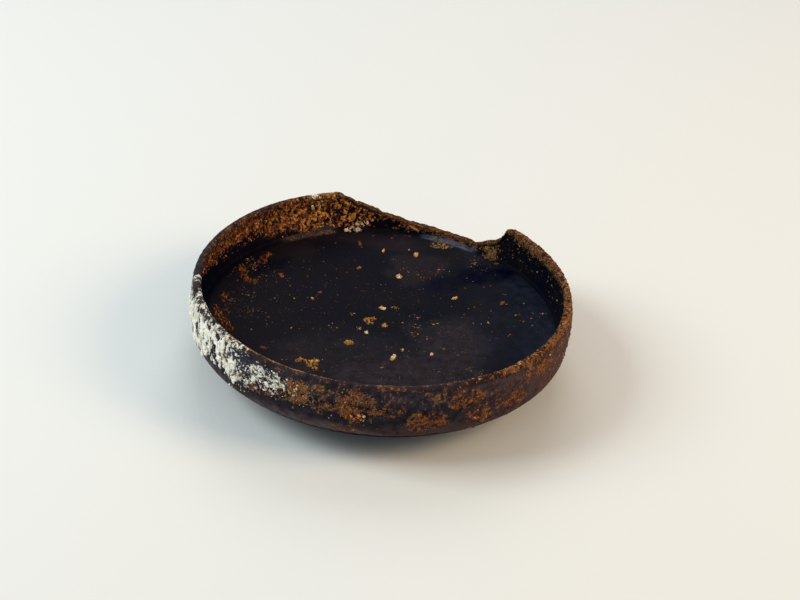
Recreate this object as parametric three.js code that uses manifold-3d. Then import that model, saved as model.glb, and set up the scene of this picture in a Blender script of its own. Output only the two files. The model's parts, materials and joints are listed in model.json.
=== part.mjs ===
// A black-slipped clay dish with a low upright wall and a ring foot.
// Its wall is broken away at the back, and the sea has left crusts on it.
// Millimetres, +Z up. The origin is the centre of the foot's underside.

import * as THREE from "three";
import { mergeVertices } from "three/addons/utils/BufferGeometryUtils.js";
import Module from "manifold-3d";

const wasm = await Module();
wasm.setup();

// Whole dish
const DISH_HEIGHT = 58; // from the table to the top of the lip
const BELLY_RADIUS = 128.1; // the widest place

// Wall: each set-back is how far a place lies inside the widest radius, each drop how far below the lip
const LIP_SET_BACK = 1.7;
const LIP_THICKNESS = 5.3;
const LIP_CROWN = 2; // height of the lip's rounding
const BELLY_DROP = 16.3;
const BEND_SET_BACK = 0.9; // where the wall starts to bend under
const BEND_DROP = 28.5;
const HEEL_SET_BACK = 15.2; // where the bend becomes the underside
const HEEL_DROP = 44.8;
const HEEL_SLOPE = 33; // degrees above level
const TANGENT_REACH = 1 / 3; // of the height from heel to bend, for the curve between them
const WALL_DEPTH = 27.8; // from the lip down to the floor's edge
const WALL_HOLLOW_DEPTH = 1.6; // how far the inside of the wall curves outwards

// Floor
const FLOOR_FILLET = 3.5; // between wall and floor
const FLOOR_DISHING = 8; // how far the middle lies below the edge

// Ring foot and the underside around it
const FOOT_HEIGHT = 9;
const FOOT_RADIUS = 52; // outer edge, where it stands
const FOOT_BASE_WIDTH = 6;
const FOOT_TOP_WIDTH = 11;
const FOOT_FLARE = 2; // how far the outer side leans out from top to base
const FOOT_EDGE = 1; // worn corners of the base
const SEAT_MARGIN = 1.5; // flat underside on both sides of the foot's top
const RECESS_RISE = 4; // how far the underside rises inside the foot

// Crusts
const CRUST_GAP = 0.3; // between a crust and the clay under it
const SHEET_THICKNESS = 1.2; // crusts on the outside of the wall
const GRAIN_THICKNESS = 2; // crust on the inside of the wall
const WORM_TUBE_RADIUS = 0.9;
const WIDE_LOBES = 0.16; // swell of a ragged patch's wide lobes, as a share of its size
const NARROW_LOBES = 0.1; // the same of its narrow lobes

// Fineness
const ROUND_STEPS = 72; // facets round the dish
const CURVE_STEPS = 5; // straight pieces in each curve of the profile
const FLOOR_STEPS = 6;
const PATCH_STEPS = 14; // corners of a ragged patch
const TUBE_STEPS = 12; // lengths of the worm tube
const TUBE_SIDES = 6; // sides of its section
const CRUMB_STEPS = 8;
const CRUMB_RINGS = 6;
const MERGE_DISTANCE = 1e-4;

const LIP_RADIUS = BELLY_RADIUS - LIP_SET_BACK;
const INSIDE_RADIUS = LIP_RADIUS - LIP_THICKNESS;
const FLOOR_RADIUS = INSIDE_RADIUS - FLOOR_FILLET;
const FOOT_TOP_RADIUS = FOOT_RADIUS - FOOT_FLARE;
const FOOT_TOP_INSIDE = FOOT_TOP_RADIUS - FOOT_TOP_WIDTH;
const FOOT_BASE_INSIDE = FOOT_RADIUS - FOOT_BASE_WIDTH;
const CRUMB_UNIT = FLOOR_RADIUS / 100; // sizes of the crusts on the floor are counted in it

// A plug reaches through the wall along the dish's radii, from well inside it to well outside it.
const PLUG_START_SHARE = 0.6; // of the inside radius
const PLUG_END_SHARE = 1.4; // of the widest radius
const PLUG_INSIDE = INSIDE_RADIUS * PLUG_START_SHARE;
const PLUG_OUTSIDE = BELLY_RADIUS * PLUG_END_SHARE;

const FINISHES = {
  slip: { color: "#1c191b", roughness: 0.45 },
  foot_slip: { color: "#2a221e", roughness: 0.6 },
  white: { color: "#cdc4b4", roughness: 0.9 },
  rust: { color: "#7b4721", roughness: 0.95 },
  ochre: { color: "#8d7030", roughness: 0.9 },
  cream: { color: "#cbb88f", roughness: 0.85 },
};

// Turning a mesh into a solid that can be joined and cut, and back

function solidFrom(geometry) {
  const bare = geometry.index ? geometry.toNonIndexed() : geometry.clone();
  bare.deleteAttribute("normal");
  bare.deleteAttribute("uv");
  const merged = mergeVertices(bare, MERGE_DISTANCE);
  const vertProperties = new Float32Array(merged.attributes.position.array);
  const triVerts = new Uint32Array(merged.index.array);
  return new wasm.Manifold(new wasm.Mesh({ numProp: 3, vertProperties, triVerts }));
}

function geometryFrom(solid) {
  const { vertProperties, triVerts } = solid.getMesh();
  const geometry = new THREE.BufferGeometry();
  geometry.setAttribute("position", new THREE.BufferAttribute(vertProperties, 3));
  geometry.setIndex(new THREE.BufferAttribute(triVerts, 1));
  geometry.computeVertexNormals();
  return geometry;
}

// The profile runs from the axis under the dish, out and up the outside, over the lip and back to the axis.
// Each stretch is a list of points (distance from the axis, height).

function undersideLine() {
  const seatInside = FOOT_TOP_INSIDE - SEAT_MARGIN;
  const seatOutside = FOOT_TOP_RADIUS + SEAT_MARGIN;
  const heel = new THREE.Vector2(BELLY_RADIUS - HEEL_SET_BACK, DISH_HEIGHT - HEEL_DROP);
  const slope = Math.tan(THREE.MathUtils.degToRad(HEEL_SLOPE));
  const cornerRadius = heel.x - (heel.y - FOOT_HEIGHT) / slope;
  const recess = new THREE.Path();
  recess.moveTo(0, FOOT_HEIGHT + RECESS_RISE);
  recess.quadraticCurveTo(seatInside, FOOT_HEIGHT + RECESS_RISE, seatInside, FOOT_HEIGHT);
  const belly = new THREE.Path();
  belly.moveTo(seatOutside, FOOT_HEIGHT);
  belly.quadraticCurveTo(cornerRadius, FOOT_HEIGHT, heel.x, heel.y);
  return [...recess.getPoints(CURVE_STEPS), ...belly.getPoints(CURVE_STEPS)];
}

function outsideLine() {
  const bend = new THREE.Vector2(BELLY_RADIUS - BEND_SET_BACK, DISH_HEIGHT - BEND_DROP);
  const heel = new THREE.Vector2(BELLY_RADIUS - HEEL_SET_BACK, DISH_HEIGHT - HEEL_DROP);
  const pull = (HEEL_DROP - BEND_DROP) * TANGENT_REACH;
  const slope = Math.tan(THREE.MathUtils.degToRad(HEEL_SLOPE));
  const wall = new THREE.Path();
  wall.moveTo(heel.x, heel.y);
  wall.bezierCurveTo(heel.x + pull / slope, heel.y + pull, bend.x, bend.y - pull, bend.x, bend.y);
  wall.quadraticCurveTo(
    BELLY_RADIUS,
    DISH_HEIGHT - (BEND_DROP + BELLY_DROP) / 2,
    BELLY_RADIUS,
    DISH_HEIGHT - BELLY_DROP,
  );
  wall.quadraticCurveTo(
    BELLY_RADIUS,
    DISH_HEIGHT - BELLY_DROP / 2,
    LIP_RADIUS,
    DISH_HEIGHT - LIP_CROWN,
  );
  return wall.getPoints(CURVE_STEPS);
}

function lipLine() {
  const half = LIP_THICKNESS / 2;
  const crown = new THREE.Path();
  crown.absellipse(LIP_RADIUS - half, DISH_HEIGHT - LIP_CROWN, half, LIP_CROWN, 0, Math.PI);
  return crown.getPoints(CURVE_STEPS);
}

// Radius of the wall's inside, where down is 0 at the lip and 1 at the floor
function insideRadius(down) {
  return INSIDE_RADIUS + WALL_HOLLOW_DEPTH * Math.sin(Math.PI * down);
}

function insideLine() {
  const points = [];
  const lowest = 1 - FLOOR_FILLET / WALL_DEPTH;
  const highest = LIP_CROWN / WALL_DEPTH;
  for (let i = 0; i <= CURVE_STEPS; i++) {
    const down = highest + ((lowest - highest) * i) / CURVE_STEPS;
    points.push(new THREE.Vector2(insideRadius(down), DISH_HEIGHT - down * WALL_DEPTH));
  }
  const start = points[points.length - 1];
  const floorEdge = new THREE.Vector2(FLOOR_RADIUS, floorHeight(FLOOR_RADIUS));
  const fillet = new THREE.QuadraticBezierCurve(
    start,
    new THREE.Vector2(start.x, floorEdge.y),
    floorEdge,
  );
  return [...points, ...fillet.getPoints(CURVE_STEPS)];
}

function floorHeight(radius) {
  const share = radius / FLOOR_RADIUS;
  return DISH_HEIGHT - WALL_DEPTH - FLOOR_DISHING * (1 - share * share);
}

function floorLine() {
  const points = [];
  for (let i = 0; i <= FLOOR_STEPS; i++) {
    const radius = FLOOR_RADIUS * (1 - i / FLOOR_STEPS);
    points.push(new THREE.Vector2(radius, floorHeight(radius)));
  }
  return points;
}

// Where two stretches share an end point, it is kept once.
function withoutRepeats(points) {
  return points.filter((p, i) => i === 0 || p.distanceTo(points[i - 1]) > MERGE_DISTANCE);
}

// A profile of (radius, height) turned once round the Z axis
function turned(profile) {
  const geometry = new THREE.LatheGeometry(withoutRepeats(profile), ROUND_STEPS);
  geometry.rotateX(Math.PI / 2);
  return solidFrom(geometry);
}

// The same line moved sideways, to the left of its direction where distance is above 0
function offsetLine(points, distance) {
  return points.map((point, i) => {
    const before = points[Math.max(i - 1, 0)];
    const after = points[Math.min(i + 1, points.length - 1)];
    const along = new THREE.Vector2().subVectors(after, before).normalize();
    return new THREE.Vector2(point.x - along.y * distance, point.y + along.x * distance);
  });
}

// A thin shell that lies a gap away from a stretch of the profile, all the way round
function skin(line, thickness) {
  const points = withoutRepeats(line);
  const near = offsetLine(points, -CRUST_GAP);
  const far = offsetLine(points, -CRUST_GAP - thickness);
  return turned([...far, ...near.reverse(), far[0]]);
}

// Outlines on the wall are lists of (angle in degrees from +X, down), with down 0 at the lip and 1 at the
// floor's edge.

function wallPlug(outline) {
  const corners = outline.map(([angle, down]) => {
    return new THREE.Vector2(THREE.MathUtils.degToRad(angle), -down);
  });
  const geometry = new THREE.ExtrudeGeometry(new THREE.Shape(corners), {
    depth: 1,
    bevelEnabled: false,
  });
  const position = geometry.attributes.position;
  for (let i = 0; i < position.count; i++) {
    const angle = position.getX(i);
    const height = DISH_HEIGHT + position.getY(i) * WALL_DEPTH;
    const radius = THREE.MathUtils.lerp(PLUG_INSIDE, PLUG_OUTSIDE, position.getZ(i));
    position.setXYZ(i, radius * Math.cos(angle), radius * Math.sin(angle), height);
  }
  return solidFrom(geometry);
}

// An oval swollen by three wide and five narrow lobes
function raggedOval({ angle, down, size, phase }) {
  const [width, height] = size;
  const corners = [];
  for (let i = 0; i < PATCH_STEPS; i++) {
    const turn = (2 * Math.PI * i) / PATCH_STEPS;
    const wide = WIDE_LOBES * Math.sin(3 * turn + phase);
    const narrow = NARROW_LOBES * Math.sin(5 * turn + 2 * phase);
    const swell = 1 + wide + narrow;
    const across = (width / 2) * swell * Math.cos(turn);
    const up = (height / 2) * swell * Math.sin(turn);
    corners.push([angle + across, down - up]);
  }
  return corners;
}

// The fracture's outer edge, from the left end of the break to its right end
const BREAK_LINE = [
  [106.6, -0.2],
  [106.6, 0],
  [105, 0.08],
  [102.1, 0.19],
  [100.7, 0.29],
  [98.6, 0.32],
  [95.8, 0.42],
  [93.6, 0.47],
  [92.4, 0.55],
  [89.2, 0.6],
  [86.4, 0.65],
  [83.7, 0.74],
  [80.4, 0.76],
  [76, 0.79],
  [72.1, 0.83],
  [65.5, 0.86],
  [62, 0.85],
  [59.5, 0.89],
  [57.1, 0.84],
  [54.7, 0.72],
  [51.5, 0.61],
  [48.9, 0.41],
  [47.5, 0.26],
  [46.4, 0.11],
  [43.7, 0],
  [43.7, -0.2],
];

const WHITE_CRUST_OUTLINE = [
  [175, 0.12],
  [190, 0.1],
  [205, 0.13],
  [218, 0.09],
  [229, 0.12],
  [226, 0.3],
  [229, 0.55],
  [228, 0.8],
  [226, 1.02],
  [221, 0.95],
  [215, 0.93],
  [210, 1],
  [207, 1.18],
  [203, 1.35],
  [196, 1.32],
  [190, 1.42],
  [184, 1.36],
  [178, 1.3],
  [174, 1],
  [172, 0.55],
];

const GRAIN_CRUST_OUTLINE = [
  [176, 0.1],
  [160, 0.09],
  [140, 0.1],
  [122, 0.09],
  [109, 0.11],
  [104, 0.26],
  [100, 0.4],
  [97, 0.48],
  [93, 0.62],
  [89, 0.69],
  [84, 0.81],
  [84, 0.95],
  [95, 0.95],
  [98, 0.8],
  [109, 0.78],
  [113, 0.96],
  [122, 0.96],
  [128, 0.86],
  [135, 0.7],
  [148, 0.72],
  [152, 0.52],
  [160, 0.46],
  [170, 0.4],
  [177, 0.28],
];

// Ragged patches on the outside of the wall, each size as [degrees, share of the wall's depth]
const OUTSIDE_PATCHES = [
  { name: "white_flake_tall", finish: "white", angle: 234, down: 0.38, size: [6, 0.44], phase: 1 },
  { name: "white_flake_broad", finish: "white", angle: 241, down: 0.4, size: [7, 0.4], phase: 3 },
  { name: "rust_patch_front_tall", finish: "rust", angle: 265, down: 0.45, size: [8, 0.62], phase: 0 },
  { name: "rust_patch_front_low", finish: "rust", angle: 285, down: 0.84, size: [9, 0.5], phase: 2 },
  { name: "rust_patch_front_high", finish: "rust", angle: 295.5, down: 0.4, size: [8, 0.3], phase: 4 },
  { name: "rust_patch_front_slim", finish: "rust", angle: 300.5, down: 0.86, size: [4, 0.3], phase: 5 },
  { name: "rust_patch_front_right", finish: "rust", angle: 314, down: 0.84, size: [7, 0.28], phase: 1 },
  { name: "rust_patch_right_high", finish: "rust", angle: 325, down: 0.26, size: [6, 0.28], phase: 3 },
  { name: "rust_patch_right_low", finish: "rust", angle: 355, down: 1.38, size: [22, 0.4], phase: 2 },
];

// Ragged patches on the inside of the wall
const INSIDE_PATCHES = [
  { name: "pale_crust_back", finish: "cream", angle: 103.5, down: 0.88, size: [7, 0.13], phase: 0 },
  { name: "ochre_crust_break", finish: "ochre", angle: 52.3, down: 0.84, size: [4.6, 0.17], phase: 2 },
];

// Single crumbs on the floor. Reach is 0 at the middle and 1 at the floor's edge, the size is length, width
// and height in crumb units, and turn is in degrees.
const CRUMBS = [
  { name: "crumb_middle_small", finish: "ochre", angle: 33.7, reach: 0.032, size: [5.1, 4.3, 1.4], turn: 70 },
  { name: "crumb_middle_cream", finish: "cream", angle: 87.5, reach: 0.202, size: [5.5, 3.8, 1.5], turn: -20 },
  { name: "crumb_back_round", finish: "cream", angle: 80.4, reach: 0.555, size: [4.7, 4.3, 1.5], turn: 0 },
  { name: "crumb_back_long", finish: "cream", angle: 76.6, reach: 0.816, size: [6.8, 3.6, 1.5], turn: 85 },
  { name: "crumb_back_slim", finish: "cream", angle: 91, reach: 0.808, size: [4.3, 2.2, 1], turn: 95 },
  { name: "crumb_back_left", finish: "rust", angle: 100.7, reach: 0.875, size: [6.8, 2.7, 1.2], turn: 95 },
  { name: "crumb_back_rust", finish: "rust", angle: 104.4, reach: 0.625, size: [4.7, 2.6, 1.1], turn: 40 },
  { name: "crumb_right_white", finish: "white", angle: 38.3, reach: 0.556, size: [5.5, 3.4, 1.4], turn: 20 },
  { name: "crumb_right_ochre", finish: "ochre", angle: 22.8, reach: 0.778, size: [5.5, 2.6, 1.1], turn: 70 },
  { name: "crumb_front_ochre", finish: "ochre", angle: 230.6, reach: 0.263, size: [7.2, 6, 1.3], turn: 30 },
  { name: "crumb_front_small", finish: "cream", angle: 224.2, reach: 0.105, size: [4.3, 3, 1.2], turn: 100 },
  { name: "crumb_front_left", finish: "rust", angle: 210, reach: 0.74, size: [5.1, 3.9, 1.3], turn: 160 },
  { name: "crumb_wedge", finish: "cream", angle: 285.3, reach: 0.335, size: [8.5, 3.2, 1.7], turn: 68 },
  { name: "crumb_front_white", finish: "white", angle: 319.2, reach: 0.403, size: [4.1, 2.4, 1.1], turn: 65 },
  { name: "crumb_left_slim", finish: "cream", angle: 150.6, reach: 0.469, size: [4.7, 2.2, 1], turn: 115 },
  { name: "crumb_left_rust", finish: "rust", angle: 140.8, reach: 0.481, size: [3.8, 3.1, 1], turn: 60 },
  { name: "crumb_left_pair", finish: "rust", angle: 145.1, reach: 0.749, size: [5.5, 3.9, 1.3], turn: 120 },
];

// Crusts of several lumps that have grown together, each lump as (angle, reach, across), with height and
// across in crumb units
const CLUSTERS = [
  {
    name: "crust_middle",
    finish: "ochre",
    height: 1.5,
    lumps: [
      [141.6, 0.105, 5.1],
      [119, 0.088, 4.7],
      [149.7, 0.065, 4.3],
    ],
  },
  {
    name: "crust_front_left",
    finish: "rust",
    height: 1.5,
    lumps: [
      [226.2, 0.618, 6],
      [229.8, 0.598, 7.7],
      [233.5, 0.596, 6.8],
      [231.7, 0.547, 5.1],
      [237.1, 0.621, 4.3],
    ],
  },
  {
    name: "crust_left_strip",
    finish: "rust",
    height: 1.3,
    lumps: [
      [138.7, 0.955, 5.5],
      [140.6, 0.942, 6],
      [142.4, 0.933, 6],
      [144.3, 0.92, 5.5],
    ],
  },
  {
    name: "crust_left_loop",
    finish: "rust",
    height: 1.4,
    lumps: [
      [152.2, 0.959, 6.8],
      [154.4, 0.936, 6.8],
      [156.6, 0.908, 6.8],
      [158.7, 0.88, 6.8],
      [158.1, 0.839, 6.4],
    ],
  },
  {
    name: "crust_left_edge",
    finish: "rust",
    height: 1.5,
    lumps: [
      [182.5, 0.946, 5.1],
      [185.3, 0.93, 6.8],
      [188.5, 0.909, 6.8],
      [191.7, 0.888, 6.8],
      [195, 0.871, 6],
    ],
  },
];

// The worm tube's course on the inside of the broken wall, as (angle, down)
const WORM_TUBE_COURSE = [
  [82.5, 0.79],
  [81.2, 0.83],
  [80, 0.87],
  [78.8, 0.9],
];

function dishBody() {
  const profile = [
    ...undersideLine(),
    ...outsideLine(),
    ...lipLine(),
    ...insideLine(),
    ...floorLine(),
  ];
  return turned(profile).subtract(wallPlug(BREAK_LINE));
}

function ringFoot() {
  return turned([
    new THREE.Vector2(FOOT_BASE_INSIDE, FOOT_EDGE),
    new THREE.Vector2(FOOT_BASE_INSIDE + FOOT_EDGE, 0),
    new THREE.Vector2(FOOT_RADIUS - FOOT_EDGE, 0),
    new THREE.Vector2(FOOT_RADIUS, FOOT_EDGE),
    new THREE.Vector2(FOOT_TOP_RADIUS, FOOT_HEIGHT),
    new THREE.Vector2(FOOT_TOP_INSIDE, FOOT_HEIGHT),
    new THREE.Vector2(FOOT_BASE_INSIDE, FOOT_EDGE),
  ]);
}

// All the space over the floor that a crumb can fill
function overFloor() {
  const surface = floorLine().map((point) => new THREE.Vector2(point.x, point.y + CRUST_GAP));
  const ceiling = [new THREE.Vector2(FLOOR_RADIUS, DISH_HEIGHT), new THREE.Vector2(0, DISH_HEIGHT)];
  return turned([...surface.reverse(), ...ceiling]);
}

// A half-buried egg on the floor
function lump(angle, reach, size, turn) {
  const [length, width, height] = size.map((units) => units * CRUMB_UNIT);
  const radius = FLOOR_RADIUS * reach;
  const at = THREE.MathUtils.degToRad(angle);
  const egg = new THREE.SphereGeometry(1, CRUMB_STEPS, CRUMB_RINGS);
  egg.rotateX(Math.PI / 2);
  egg.scale(length / 2, width / 2, height);
  egg.rotateZ(THREE.MathUtils.degToRad(turn));
  egg.translate(radius * Math.cos(at), radius * Math.sin(at), floorHeight(radius));
  return solidFrom(egg);
}

function crumb({ angle, reach, size, turn }) {
  return lump(angle, reach, size, turn).intersect(OVER_FLOOR);
}

function cluster({ height, lumps }) {
  const eggs = lumps.map(([angle, reach, across]) => lump(angle, reach, [across, across, height], angle));
  return eggs.reduce((grown, egg) => grown.add(egg)).intersect(OVER_FLOOR);
}

function wormTube() {
  const stand = WORM_TUBE_RADIUS + CRUST_GAP;
  const course = WORM_TUBE_COURSE.map(([angle, down]) => {
    const at = THREE.MathUtils.degToRad(angle);
    const radius = insideRadius(down) - stand;
    return new THREE.Vector3(
      radius * Math.cos(at),
      radius * Math.sin(at),
      DISH_HEIGHT - down * WALL_DEPTH,
    );
  });
  const section = new THREE.Shape();
  section.absarc(0, 0, WORM_TUBE_RADIUS, 0, 2 * Math.PI);
  const geometry = new THREE.ExtrudeGeometry(section, {
    steps: TUBE_STEPS,
    curveSegments: TUBE_SIDES / 2,
    bevelEnabled: false,
    extrudePath: new THREE.CatmullRomCurve3(course),
  });
  return solidFrom(geometry);
}

function addPiece(group, name, finish, solid) {
  const material = new THREE.MeshStandardMaterial({ ...FINISHES[finish], metalness: 0 });
  const mesh = new THREE.Mesh(geometryFrom(solid), material);
  mesh.name = name;
  group.add(mesh);
}

const OVER_FLOOR = overFloor();
const outsideSkin = skin(outsideLine(), SHEET_THICKNESS);
const insideSkin = skin(insideLine(), GRAIN_THICKNESS);

const vessel = new THREE.Group();
addPiece(vessel, "dish_body", "slip", dishBody());
addPiece(vessel, "ring_foot", "foot_slip", ringFoot());

const wallCrusts = new THREE.Group();
addPiece(wallCrusts, "white_crust_left", "white", outsideSkin.intersect(wallPlug(WHITE_CRUST_OUTLINE)));
addPiece(wallCrusts, "grain_crust_inside", "rust", insideSkin.intersect(wallPlug(GRAIN_CRUST_OUTLINE)));
for (const patch of OUTSIDE_PATCHES) {
  addPiece(wallCrusts, patch.name, patch.finish, outsideSkin.intersect(wallPlug(raggedOval(patch))));
}
for (const patch of INSIDE_PATCHES) {
  addPiece(wallCrusts, patch.name, patch.finish, insideSkin.intersect(wallPlug(raggedOval(patch))));
}
addPiece(wallCrusts, "worm_tube", "cream", wormTube());

const floorCrusts = new THREE.Group();
for (const grain of CRUMBS) {
  addPiece(floorCrusts, grain.name, grain.finish, crumb(grain));
}
for (const crust of CLUSTERS) {
  addPiece(floorCrusts, crust.name, crust.finish, cluster(crust));
}

const dish = new THREE.Group();
dish.add(vessel, wallCrusts, floorCrusts);

export default dish;
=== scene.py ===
# The finish of a black-slipped clay dish whose wall is broken at the back and crusted by the sea.
# Lengths are millimetres until a vertex is placed, and MM turns them into metres. Only the table and the
# lights are given in metres.

import json
import math
import random

import bmesh
import bpy
from mathutils import Matrix, Vector, noise
from mathutils.bvhtree import BVHTree


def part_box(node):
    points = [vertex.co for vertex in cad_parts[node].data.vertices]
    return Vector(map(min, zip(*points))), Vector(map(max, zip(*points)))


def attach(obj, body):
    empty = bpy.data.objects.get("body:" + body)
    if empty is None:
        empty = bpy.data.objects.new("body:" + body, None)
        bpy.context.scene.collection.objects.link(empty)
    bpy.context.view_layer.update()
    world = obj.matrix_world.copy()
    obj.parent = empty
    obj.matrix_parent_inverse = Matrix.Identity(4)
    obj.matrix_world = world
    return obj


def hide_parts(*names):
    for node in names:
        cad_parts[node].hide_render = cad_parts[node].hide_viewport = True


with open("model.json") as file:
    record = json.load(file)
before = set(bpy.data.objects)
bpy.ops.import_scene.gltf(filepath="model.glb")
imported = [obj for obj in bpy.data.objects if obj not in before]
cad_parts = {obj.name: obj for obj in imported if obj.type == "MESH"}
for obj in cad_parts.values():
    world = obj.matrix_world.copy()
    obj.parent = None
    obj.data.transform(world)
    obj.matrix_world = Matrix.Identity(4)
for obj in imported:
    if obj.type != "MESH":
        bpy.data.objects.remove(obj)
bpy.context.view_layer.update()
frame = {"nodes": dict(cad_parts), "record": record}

MM = 0.001
SEED = 7
noise.seed_set(SEED)  # or the specks' dents would change from run to run

# Each node's material slot
SLOTS = {part["node"]: part["material_slot"] for part in frame["record"]["subparts"]}

# Sizes that follow the solids
BODY_LOW, BODY_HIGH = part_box("dish_body")
FOOT_LOW, FOOT_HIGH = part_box("ring_foot")
DISH_HEIGHT = BODY_HIGH[2] / MM
BELLY_RADIUS = (BODY_HIGH[0] - BODY_LOW[0]) / 2 / MM
FOOT_RADIUS = (FOOT_HIGH[0] - FOOT_LOW[0]) / 2 / MM
FOOT_HEIGHT = FOOT_HIGH[2] / MM

# Wall: set-backs from the widest radius and drops below the lip
LIP_RADIUS = BELLY_RADIUS - 1.7
LIP_THICKNESS = 5.3
LIP_CROWN = 2
LIP_RISE = 0.95  # how far the crusted lip stands above the solid's
INSIDE_RADIUS = LIP_RADIUS - LIP_THICKNESS
BELLY_DROP = 16.3
TURN_RADIUS = BELLY_RADIUS - 0.9
TURN_DROP = 28.5
HEEL_RADIUS = BELLY_RADIUS - 15.2
HEEL_DROP = 44.8
HEEL_SLOPE = math.tan(math.radians(33))
WALL_DEPTH = 27.8
WALL_HOLLOW = 1.6

# Floor, foot and underside
FLOOR_FILLET = 3.5
FLOOR_DISHING = 8
FLOOR_RADIUS = INSIDE_RADIUS - FLOOR_FILLET
FOOT_BASE_WIDTH = 6
FOOT_TOP_WIDTH = 11
FOOT_FLARE = 2
FOOT_TOP_RADIUS = FOOT_RADIUS - FOOT_FLARE
FOOT_TOP_INSIDE = FOOT_TOP_RADIUS - FOOT_TOP_WIDTH
SEAT_MARGIN = 1.5
RECESS_RISE = 4

# The photograph's camera, fitted to the dish's curves; pixels are of its 800 by 600 frame
PHOTO_SIZE = (800, 600)
FOCAL_PIXELS = 1600
RIM_CENTRE_PIXEL = (383.25, 281.88)
CAMERA_ELEVATION = math.radians(30.98)
CAMERA_ROLL = math.radians(-4.46)
CAMERA_DISTANCE = 1072
SENSOR_WIDTH = 36

# The fracture's outer edge as (angle from +X in degrees, down), with down 0 at the lip and 1 at the floor
BREAK_LINE = [
    (106.6, -0.2), (106.6, 0), (105, 0.08), (102.1, 0.19), (100.7, 0.29), (98.6, 0.32),
    (95.8, 0.42), (93.6, 0.47), (92.4, 0.55), (89.2, 0.6), (86.4, 0.65), (83.7, 0.74),
    (80.4, 0.76), (76, 0.79), (72.1, 0.83), (65.5, 0.86), (62, 0.85), (59.5, 0.89),
    (57.1, 0.84), (54.7, 0.72), (51.5, 0.61), (50.2, 0.52), (49.2, 0.45), (48.5, 0.36),
    (47.8, 0.22), (47, 0.12), (46, 0.07), (45, 0.04), (43.9, 0.02), (43.5, -0.2),
]

# How many degrees further round the stub ends on its inner side than on its outer side
STUB_SLANT = 1.4

# The large crusts' outlines on the wall, in the same terms as the fracture
WHITE_CRUST_OUTLINE = [
    (178, 0.6), (188, 0.5), (194, 0.2), (199, -0.04), (202, 0.04), (205, 0.12), (208, -0.1),
    (214, -0.14), (217.5, -0.02), (220, -0.12), (222, -0.06), (224, 0.12), (229, 0.14),
    (227, 0.3), (229, 0.55), (228, 0.8), (226, 1.02), (221, 0.95), (215, 0.93), (210, 1),
    (207, 1.18), (203, 1.35), (196, 1.32), (190, 1.42), (184, 1.36), (178, 1.3), (174, 1),
    (172, 0.55),
]

GRAIN_CRUST_OUTLINE = [
    (178, 0.12), (160, 0.07), (150, 0.01), (142, -0.08), (124, -0.12), (118, -0.02),
    (108, 0.07), (104, 0.14), (100, 0.36), (97, 0.44), (93, 0.56), (89, 0.6), (80, 0.74),
    (75, 0.86), (84, 0.95), (95, 0.98), (98, 0.92), (109, 0.9), (113, 0.98), (121, 0.92),
    (128, 0.76), (138, 0.72), (146, 0.84), (156, 0.76), (166, 0.57), (179, 0.42),
]

PALE_CRUST_OUTLINE = [
    (106.5, 1.12), (105.2, 0.96), (102.4, 0.88), (99.8, 0.77), (97.2, 0.73), (96.4, 0.85),
    (98.8, 1), (101.4, 1.12),
]

# Ragged patches: node, angle, down, width in degrees, height as a share of the wall's depth, phase
OUTSIDE_PATCHES = [
    ("white_flake_tall", 234, 0.38, 6, 0.44, 1),
    ("white_flake_broad", 241, 0.4, 7, 0.4, 3),
    ("rust_patch_front_tall", 265, 0.45, 8, 0.62, 0),
    ("rust_patch_front_low", 285, 0.84, 9, 0.5, 2),
    ("rust_patch_front_high", 295.5, 0.4, 8, 0.3, 4),
    ("rust_patch_front_slim", 300.5, 0.86, 4, 0.3, 5),
    ("rust_patch_front_right", 314, 0.84, 7, 0.28, 1),
    ("rust_patch_right_high", 325, 0.26, 6, 0.28, 3),
    ("rust_patch_right_low", 355, 1.38, 22, 0.4, 2),
]
OCHRE_PATCH = (52.3, 0.84, 4.6, 0.17, 2)

# A bare hollow in the grainy crust as (angle, drop, half its width in degrees, half its height)
HOLLOW = (90, 25, 5, 4.5)

WORM_TUBE_COURSE = [(82.5, 0.79), (81.2, 0.83), (80, 0.87), (78.8, 0.9)]
WORM_TUBE_RADIUS = 0.9

# The films on the clay and a painted sheen, each a density from 0 to 1 at every vertex
FILMS_AND_SHEEN = ("rust", "ochre", "pale", "sheen", "dark", "warm")

# Where deposits colour the clay, and where a painted sheen lightens it. Each blot on the wall is (angle,
# drop below the lip, half its width in degrees, half its height, strength), and the strongest blot at a
# place counts.
OUTSIDE_RUST = [
    (236, 17, 9, 13, 0.44), (248, 12, 8, 13, 0.56), (256, 13, 8, 16, 0.48),
    (265, 13, 9, 18, 0.56), (262, 31, 6, 6, 0.5), (274, 12, 8, 14, 0.455), (288, 6, 9, 9, 0.46),
    (285, 23, 9, 13, 0.58), (296, 10, 9, 10, 0.56), (300, 24, 6, 9, 0.5),
    (308, 20, 16, 24, 0.42), (314, 23, 7, 8, 0.56), (325, 6, 12, 12, 0.54),
    (335, 20, 16, 24, 0.44), (350, 12, 26, 22, 0.5), (350, 36, 30, 14, 0.52),
    (15, 14, 28, 26, 0.5), (60, 30, 44, 22, 0.46), (120, 20, 54, 26, 0.46),
]
OUTSIDE_OCHRE = [
    (240, 16, 12, 10, 0.4), (254, 10, 22, 14, 0.38),
]
OUTSIDE_PALE = [
    (196, 15, 24, 26, 0.55), (189, 34, 20, 14, 0.5), (224, 16, 14, 18, 0.44),
    (238, 12, 11, 12, 0.44), (160, 20, 18, 22, 0.4),
]
# A painted sheen: pale reflections laid on the outer wall, low at the front left and the right, and near the
# lip
OUTSIDE_SHEEN = [
    (206, 40, 40, 18, 0.5), (250, 40, 34, 16, 0.64), (226, 8, 30, 12, 0.36),
    (258, 5, 30, 10, 0.28), (292, 5, 34, 12, 0.34), (290, 28, 24, 8, 0.26),
    (330, 24, 50, 30, 0.2),
]
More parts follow.
